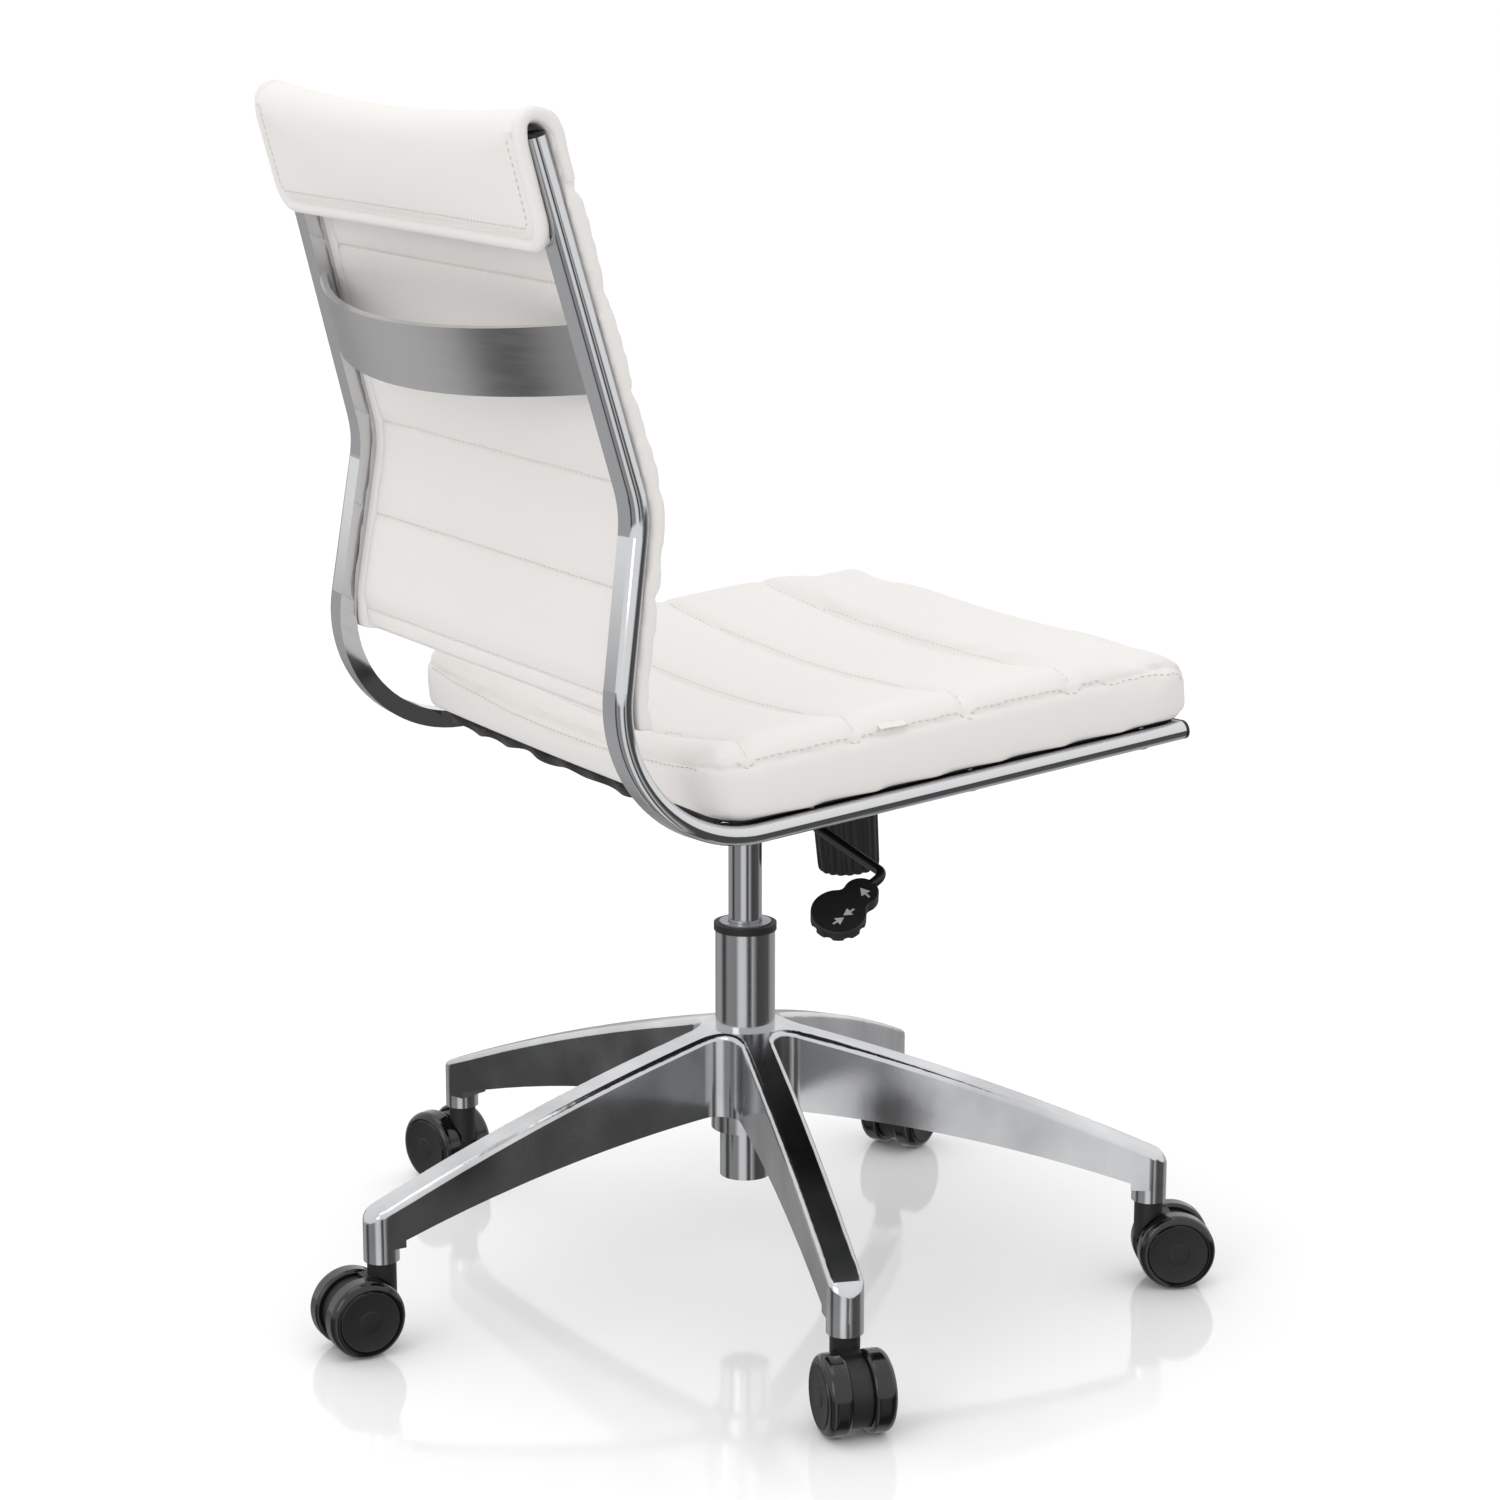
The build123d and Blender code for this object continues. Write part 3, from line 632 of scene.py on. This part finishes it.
def flapEdgeGap(x, z):  # distance in from the flap's rounded outline
    r = head["cornerRadius"]
    dx, dz = np.abs(x) - (head["halfWidth"] - r), (head["flapLow"] + r) - z
    return r - np.where((dx > 0) & (dz > 0), np.hypot(dx, dz), np.maximum(dx, dz))


def flapOutline(inset):  # (x, z) from the right side's top, round the flap, to the left side's top
    r, half = head["cornerRadius"], head["halfWidth"]
    right = [(-(half - inset), z) for z in np.linspace(0.966, head["flapLow"] + r, 10)[:-1]]
    turn = [(-(half - r + (r - inset) * math.cos(a)), head["flapLow"] + r - (r - inset) * math.sin(a))
            for a in np.linspace(0, math.pi / 2, 10)]
    flat = [(x, head["flapLow"] + inset) for x in np.linspace(-(half - r), 0, 14)[1:]]
    side = right + turn + flat
    return side + [(-x, z) for x, z in side[-2::-1]]


def headPiping():  # soft welt sewn round the flap's edge and over the roll's two ends
    radius = head["pipingRadius"]
    path = [Vector((x, onRailPlane(0.0135, z), z)) for x, z in flapOutline(radius - 0.0005)]
    over = []
    x = path[0].x
    for a in np.linspace(0, math.pi, 9):
        offset = 0.0135 * math.cos(a) - 0.0010 * (1 - math.cos(a))
        height = 0.968 + 0.0165 * math.sin(a)
        over.append(Vector((x, onRailPlane(offset, height), 0.972 + 0.0160 * math.sin(a))))
    front = [Vector((x, onRailPlane(-0.0155, z), z)) for z in np.linspace(0.964, 0.940, 4)]
    start = (over[1:] + front)[::-1]
    end = [Vector((-p.x, p.y, p.z)) for p in over[1:] + front]
    points = start + path + end
    bpy.ops.curve.primitive_nurbs_path_add(location=(0, 0, 0))
    piece = bpy.context.object
    piece.name = "head_roll_piping"
    spline = piece.data.splines[0]
    spline.points.add(len(points) - len(spline.points))
    for point, place in zip(spline.points, points):
        point.co = (*place, 1)
    spline.order_u = 4
    spline.use_endpoint_u = True
    spline.resolution_u = 4
    piece.data.bevel_depth = radius
    piece.data.bevel_resolution = 4
    piece.data.use_fill_caps = True
    choose(piece)
    bpy.ops.object.convert(target="MESH")
    piece = bpy.context.object
    paint(piece, slotMaterials["white_leatherette"])
    smoothByAngle(piece, 60)
    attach(piece, "seat")
    line = [(x, onRailPlane(0.03, z), z) for x, z in flapOutline(head["hemGap"])]
    stitchRun("flap_hem_stitches", backPiece, line, "seat", pitch=0.0055, length=0.0038, thick=0.0009)


def backPanel():
    low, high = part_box("back_panel")
    deselectAll()
    bpy.ops.mesh.primitive_grid_add(x_subdivisions=80, y_subdivisions=260, size=1, location=(0, 0, 0))
    piece = bpy.context.object
    piece.name = "back_panel_cover"
    bpy.ops.object.mode_set(mode="EDIT")
    bpy.ops.mesh.select_all(action="SELECT")
    bpy.ops.transform.resize(value=(1.0, high.z - low.z - 0.001, 1.0))
    bpy.ops.transform.rotate(value=-math.pi / 2, orient_axis="X", center_override=(0, 0, 0))
    bpy.ops.object.mode_set(mode="OBJECT")
    co = meshArray(piece)
    co[:, 2] = (co[:, 2] - co[:, 2].min()) + low.z + 0.0005
    co[:, 0] *= 2 * (panelHalfWidth(co[:, 2]) - 0.0005)
    height = co[:, 2]
    rows = sorted(back["seams"] + (low.z, high.z))
    push = np.zeros(len(co))
    for a, b in zip(rows, rows[1:]):
        inside = (height >= a) & (height <= b)
        middle = (height[inside] - a) / (b - a)
        push[inside] = back["panelPuff"] * (1 - np.abs(2 * middle - 1) ** 4) * min(1, (b - a) / 0.05)
    edge = np.clip((panelHalfWidth(height) - np.abs(co[:, 0])) / 0.006, 0, 1)
    push *= 0.35 + 0.65 * np.sqrt(edge)
    ripple = 0.0004 * np.sin(co[:, 0] * 55 + height * 23) * np.sin(height * 71 + 1.3)
    ripple += 0.0005 * np.sin(co[:, 0] * 21 + 0.7) * np.sin(height * 39)
    gap = np.min([np.abs(height - seam) for seam in back["seams"]], axis=0)
    co[:, 1] = panelRear(height) + push + ripple - back["panelDepth"] * np.exp(-gap / back["panelWidth"])
    setMesh(piece, co)
    wall = piece.modifiers.new("thickness", "SOLIDIFY")
    wall.thickness = back["panelWall"]
    wall.offset = -1
    rolled = piece.modifiers.new("rolled_edge", "BEVEL")
    rolled.width = 0.0012
    rolled.segments = 2
    rolled.limit_method = "ANGLE"
    rolled.angle_limit = math.radians(60)
    applyAll(piece)
    bpy.ops.object.mode_set(mode="EDIT")
    bpy.ops.mesh.select_all(action="SELECT")
    bpy.ops.mesh.normals_make_consistent(inside=False)
    bpy.ops.object.mode_set(mode="OBJECT")
    paint(piece, slotMaterials["white_leatherette"])
    smoothByAngle(piece, 50)
    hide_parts("back_panel")
    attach(piece, "seat")
    for number, seam in enumerate(back["seams"]):
        line = [(x, float(panelRear(seam)) + 0.004, seam + 0.0012) for x in np.linspace(-0.205, 0.205, 60)]
        stitchRun(f"panel_cross_stitches_{number + 1}", piece, line, "seat", thick=0.0009, lift=0.0001)


dust = {"halfWidth": 0.221, "front": -0.262, "rear": 0.160, "turnDown": 0.006, "wave": 0.0016,
        "openHalf": (0.096, 0.119), "openMiddle": -0.030}


def dustCloth():  # stapled under the seat, its rear edge left loose and wavy
    deselectAll()
    bpy.ops.mesh.primitive_grid_add(x_subdivisions=150, y_subdivisions=120, size=1)
    piece = bpy.context.object
    piece.name = "dust_cloth"
    co = meshArray(piece)
    length = dust["rear"] + dust["turnDown"] - dust["front"]
    x = co[:, 0] * 2 * dust["halfWidth"]
    run = dust["front"] + (co[:, 1] + 0.5) * length
    over = np.clip(run - dust["rear"], 0, None)
    y = np.minimum(run, dust["rear"]) + 0.0015 * np.sin(x * 130) * (over > 0)
    near = np.clip((run - 0.12) / 0.04, 0, 1)
    sag = 0.0012 * np.sin(x * 31) ** 2 * np.sin(run * 27) ** 2
    z = -0.0012 - sag - over + near * dust["wave"] * np.sin(x * 96 + 0.8 * np.sin(x * 41))
    setMesh(piece, fromSeat(np.stack([x, y, np.minimum(z, -0.0002 + 0.004 * near)], axis=1)))
    choose(piece)
    bpy.ops.object.mode_set(mode="EDIT")
    bpy.ops.mesh.select_all(action="DESELECT")
    bpy.ops.object.mode_set(mode="OBJECT")
    for face in piece.data.polygons:
        middle = np.mean([(x[v], run[v]) for v in face.vertices], axis=0)
        across, along = abs(middle[0]), abs(middle[1] - dust["openMiddle"])
        face.select = bool(across < dust["openHalf"][0] and along < dust["openHalf"][1])
    bpy.ops.object.mode_set(mode="EDIT")
    bpy.ops.mesh.delete(type="FACE")
    bpy.ops.object.mode_set(mode="OBJECT")
    wall = piece.modifiers.new("thickness", "SOLIDIFY")
    wall.thickness = 0.0006
    applyAll(piece)
    paint(piece, slotMaterials["black_cloth"])
    smoothByAngle(piece, 60)
    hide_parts("dust_cover")
    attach(piece, "seat")


tab = {"size": (0.024, 0.0075), "thick": 0.0008, "at": (-0.2445, 0.012, 0.0500), "tilt": 22}


def seamTab():  # plain woven tab caught in the side seam
    bpy.ops.mesh.primitive_grid_add(x_subdivisions=12, y_subdivisions=6, size=1)
    piece = bpy.context.object
    piece.name = "blank_seam_tab"
    co = meshArray(piece)
    along, across = co[:, 0] * tab["size"][0], co[:, 1] * tab["size"][1]
    tilt = math.radians(tab["tilt"])
    local = np.stack([tab["at"][0] + across * math.cos(tilt), tab["at"][1] + along,
                      tab["at"][2] + 0.0004 * np.sin(along * 200) + across * math.sin(tilt)], axis=1)
    setMesh(piece, fromSeat(local))
    wall = piece.modifiers.new("thickness", "SOLIDIFY")
    wall.thickness = tab["thick"]
    wall.offset = 0
    soft = piece.modifiers.new("soft_edge", "BEVEL")
    soft.width = 0.0002
    soft.segments = 2
    applyAll(piece)
    paint(piece, slotMaterials["white_leatherette"])
    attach(piece, "seat")


seatCushion()
dustCloth()
seamTab()
print("seat cushion made")
panelLine = panelRearLine()
backPiece = backCover()
headPiping()
print("back and head roll made")
backPanel()
print("rear panel made")


caster = {"discRadius": 0.0247, "discThick": 0.0006, "faceAt": 0.0272, "dish": 0.0009, "capRadius": 0.0085}


def wheelDiscs():  # matte insert on each wheel's outer face, inside the glossy rim
    for number in range(1, 6):
        for side, sign in (("a", 1), ("b", -1)):
            joint = jointOf[f"caster_{number}_roll_{side}"]
            outward = Vector(joint["axis"]).normalized() * sign
            place = Vector(joint["pos_m"]) + outward * (caster["faceAt"] - 0.0001)
            deselectAll()
            bpy.ops.mesh.primitive_circle_add(vertices=64, radius=caster["discRadius"], fill_type="NGON")
            piece = bpy.context.object
            piece.name = f"caster_{number}_disc_{side}"
            bpy.ops.object.mode_set(mode="EDIT")
            bpy.ops.mesh.select_all(action="SELECT")
            bpy.ops.mesh.extrude_region_move(TRANSFORM_OT_translate={"value": (0, 0, caster["discThick"])})
            bpy.ops.mesh.inset(thickness=0.0006, depth=0.0002)
            bpy.ops.mesh.inset(thickness=0.0012, depth=-caster["dish"] * 0.5)
            bpy.ops.mesh.inset(thickness=caster["discRadius"] - caster["capRadius"] - 0.0024)
            bpy.ops.mesh.inset(thickness=0.0005, depth=0.0005)
            bpy.ops.mesh.inset(thickness=0.0008, depth=0.0001)
            bpy.ops.mesh.select_all(action="SELECT")
            bpy.ops.mesh.normals_make_consistent(inside=False)
            bpy.ops.object.mode_set(mode="OBJECT")
            facing = outward.to_track_quat("Z", "Y").to_matrix().to_4x4()
            piece.matrix_world = Matrix.Translation(place) @ facing
            freeze(piece)
            smoothByAngle(piece, 30)
            paint(piece, slotMaterials["black_plastic"])
            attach(piece, f"caster_{number}_wheel_{side}")


knob = {
    "middle": (0, -0.090), "flutes": 18, "fluteDepth": 0.0021, "fluteWidth": 0.26,
    "rings": ((0.0195, -0.1430), (0.0238, -0.1424), (0.0256, -0.1402), (0.0262, -0.1370), (0.0266, -0.1250),
              (0.0270, -0.1110), (0.0274, -0.0980), (0.0276, -0.0900), (0.0272, -0.0882), (0.0262, -0.0880),
              (0.0243, -0.0882), (0.0239, -0.0900), (0.0238, -0.0990), (0.0228, -0.1000)),
}


def tensionKnob():  # fluted grip; each flute bites into the bottom rim
    deselectAll()
    rings = knob["rings"]
    bpy.ops.mesh.primitive_circle_add(vertices=216, radius=rings[0][0], fill_type="NOTHING",
                                      location=(0, 0, rings[0][1]))
    piece = bpy.context.object
    piece.name = "tension_knob_grip"
    bpy.ops.object.mode_set(mode="EDIT")
    bpy.ops.mesh.select_all(action="SELECT")
    for (r0, z0), (r1, z1) in zip(rings, rings[1:]):
        bpy.ops.mesh.extrude_edges_move(TRANSFORM_OT_translate={"value": (0, 0, z1 - z0)})
        bpy.ops.transform.resize(value=(r1 / r0, r1 / r0, 1), center_override=(0, 0, z1))
    bpy.ops.mesh.edge_face_add()
    bpy.ops.object.mode_set(mode="OBJECT")
    piece.location = (0, 0, 0)
    co = meshArray(piece)
    co[:, 2] -= co[:, 2].min() - rings[0][1]
    radius = np.hypot(co[:, 0], co[:, 1])
    turn = np.arctan2(co[:, 1], co[:, 0]) * knob["flutes"] / (2 * math.pi)
    offset = np.abs(turn - np.round(turn)) / knob["fluteWidth"]
    groove = np.clip(1 - offset ** 2, 0, 1) ** 0.5
    outer = radius > 0.0250
    deep = knob["fluteDepth"] * (0.55 + 0.45 * np.clip((-0.128 - co[:, 2]) / 0.012, 0, 1))
    cut = np.where(outer | (co[:, 2] < -0.1420), deep * groove, 0) * (radius > 0.0200)
    co[:, :2] *= ((radius - cut) / radius)[:, None]
    co[:, 1] += knob["middle"][1]
    choose(piece)
    setMesh(piece, fromSeat(co))
    bpy.ops.object.mode_set(mode="EDIT")
    bpy.ops.mesh.select_all(action="DESELECT")
    bpy.ops.mesh.select_non_manifold()
    bpy.ops.mesh.edge_face_add()
    bpy.ops.mesh.select_all(action="SELECT")
    bpy.ops.mesh.normals_make_consistent(inside=False)
    bpy.ops.object.mode_set(mode="OBJECT")
    smoothByAngle(piece, 30)
    paint(piece, slotMaterials["black_plastic"])
    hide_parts("tension_knob")
    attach(piece, "knob")


def tensionSpring():  # the real coil closes up as the seat plate comes down on it; here it is copied onto the control with a mesh of its own
    piece = copyNodes("tension_coil", "tension_spring")
    smoothByAngle(piece, 60)
    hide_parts("tension_spring")
    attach(piece, "control")
    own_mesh(piece)


paddle = {
    "at": (-0.184, 0.004, 0.370), "along": (-0.18, 0.89, -0.43), "up": (-0.5, 0.3, 0.81), "face": 0.00505,
    "arrows": ((-0.001, 0.002, 168, 0.0100), (0.0235, 0.0065, 258, 0.0090), (0.0335, 0.0065, 78, 0.0090)),
    "ink": 0.00012,
}


def paddleArrows():  # plain direction arrows only, no lettering
    up = Vector(paddle["up"]).normalized()
    along = Vector(paddle["along"])
    along = (along - along.dot(up) * up).normalized()
    across = up.cross(along)
    base = Matrix((along, across, up)).transposed().to_4x4()
    base.translation = Vector(paddle["at"])
    for number, (a, b, angle, size) in enumerate(paddle["arrows"]):
        deselectAll()
        bpy.ops.mesh.primitive_circle_add(vertices=3, radius=0.5 * size, fill_type="NGON", location=(0, 0, 0))
        piece = bpy.context.object
        piece.name = f"paddle_arrow_{number + 1}"
        bpy.ops.mesh.primitive_plane_add(size=1)
        shaft = bpy.context.object
        shaft.scale = (0.17 * size, 0.5 * size, 1)
        shaft.location = (0, -0.45 * size, 0)
        freeze(shaft)
        freeze(piece)
        piece.select_set(True)
        shaft.select_set(True)
        bpy.context.view_layer.objects.active = piece
        bpy.ops.object.join()
        wall = piece.modifiers.new("ink", "SOLIDIFY")
        wall.thickness = paddle["ink"]
        wall.offset = 0
        applyAll(piece)
        local = Matrix.Translation((a, b, paddle["face"])) @ Matrix.Rotation(math.radians(angle), 4, "Z")
        piece.matrix_world = base @ local
        freeze(piece)
        paint(piece, ink)
        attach(piece, "lever")


wheelDiscs()
tensionKnob()
tensionSpring()
paddleArrows()
print("caster discs, knob grip and lever marks made")

studio = {
    "cameraAt": (-2.5939, 1.5524, 1.1370), "lookAlong": (0.8368, -0.5008, -0.2214),
    "lens": 90.4, "shift": 0.0032, "floor": "#FCFCFC",
    "horizon": 1.0, "zenith": 1.12, "cardsFrom": -0.03, "cardsFull": -0.07,
    # heading in degrees and brightness of what the metal sees below the horizon
    "lowerCards": ((-178, 0.45), (-164, 0.08), (-112, 0.12), (-100, 0.40), (-60, 0.48), (-31, 0.38),
                   (-5, 0.30), (12, 0.44), (24, 0.48), (44, 0.44), (54, 0.08), (66, 0.08), (76, 0.36),
                   (114, 0.32), (126, 0.95), (150, 0.90), (160, 0.08), (171, 0.10), (176, 0.65)),
}


def addCamera():
    bpy.ops.object.camera_add(location=studio["cameraAt"])
    camera = bpy.context.object
    camera.rotation_euler = Vector(studio["lookAlong"]).to_track_quat("-Z", "Y").to_euler()
    camera.data.lens = studio["lens"]
    camera.data.sensor_width = 36
    camera.data.shift_x = studio["shift"]
    camera.data.clip_end = 200
    bpy.context.scene.camera = camera


def addSoftbox(name, place, target, size, power):
    bpy.ops.object.light_add(type="AREA", location=place)
    light = bpy.context.object
    light.name = name
    light.data.shape = "RECTANGLE"
    light.data.size, light.data.size_y = size
    light.data.energy = power
    light.rotation_euler = (Vector(target) - Vector(place)).to_track_quat("-Z", "Y").to_euler()


def addFloor():
    material, shader = startMaterial("gloss_white_sweep", studio["floor"], roughness=0.07)
    noiseBump(material, shader, scale=3, distance=0.0002, strength=0.04)
    bpy.ops.mesh.primitive_plane_add(size=160, location=(0, 0, 0))
    floor = bpy.context.object
    floor.name = "studio_floor"
    floor.visible_glossy = False  # chrome sees the grey of the lower sky instead of a white floor
    paint(floor, material)


deselectAll()
addCamera()
addFloor()
addSoftbox("top_box", (0.3, 0.6, 3.4), (0, 0, 0.4), (2.4, 2.4), 14)
addSoftbox("left_box", (-1.4, 3.4, 1.9), (0, 0, 0.6), (1.6, 2.0), 16)
world = bpy.data.worlds.new("studio_world")
bpy.context.scene.world = world
world.use_nodes = True
direction = addNode(world, "ShaderNodeTexCoord").outputs["Generated"]
parts = addNode(world, "ShaderNodeSeparateXYZ", links={"Vector": direction})
rise = addNode(world, "ShaderNodeMapRange", values={"To Min": studio["horizon"], "To Max": studio["zenith"]},
               links={"Value": parts.outputs["Z"]})
compass = addNode(world, "ShaderNodeTexGradient", {"gradient_type": "RADIAL"}, links={"Vector": direction})
cards = addNode(world, "ShaderNodeValToRGB", links={"Fac": compass.outputs["Fac"]})
stops = studio["lowerCards"]
while len(cards.color_ramp.elements) < len(stops):
    cards.color_ramp.elements.new(0.5)
for element, (heading, grey) in zip(cards.color_ramp.elements, stops):
    element.position = ((heading + 180) % 360) / 360
    element.color = (grey, grey, grey, 1)
below = addNode(world, "ShaderNodeMapRange", links={"Value": parts.outputs["Z"]},
                values={"From Min": studio["cardsFrom"], "From Max": studio["cardsFull"]})
strength = addNode(world, "ShaderNodeMix", {"data_type": "FLOAT"},
                   links={0: below.outputs["Result"], 2: rise.outputs["Result"], 3: cards.outputs["Color"]})
backdrop = world.node_tree.nodes["Background"]
link(world, strength.outputs[0], backdrop.inputs["Strength"])
backdrop.inputs["Color"].default_value = (1, 1, 1, 1)
bpy.context.scene.view_settings.view_transform = "Standard"
print("studio set")
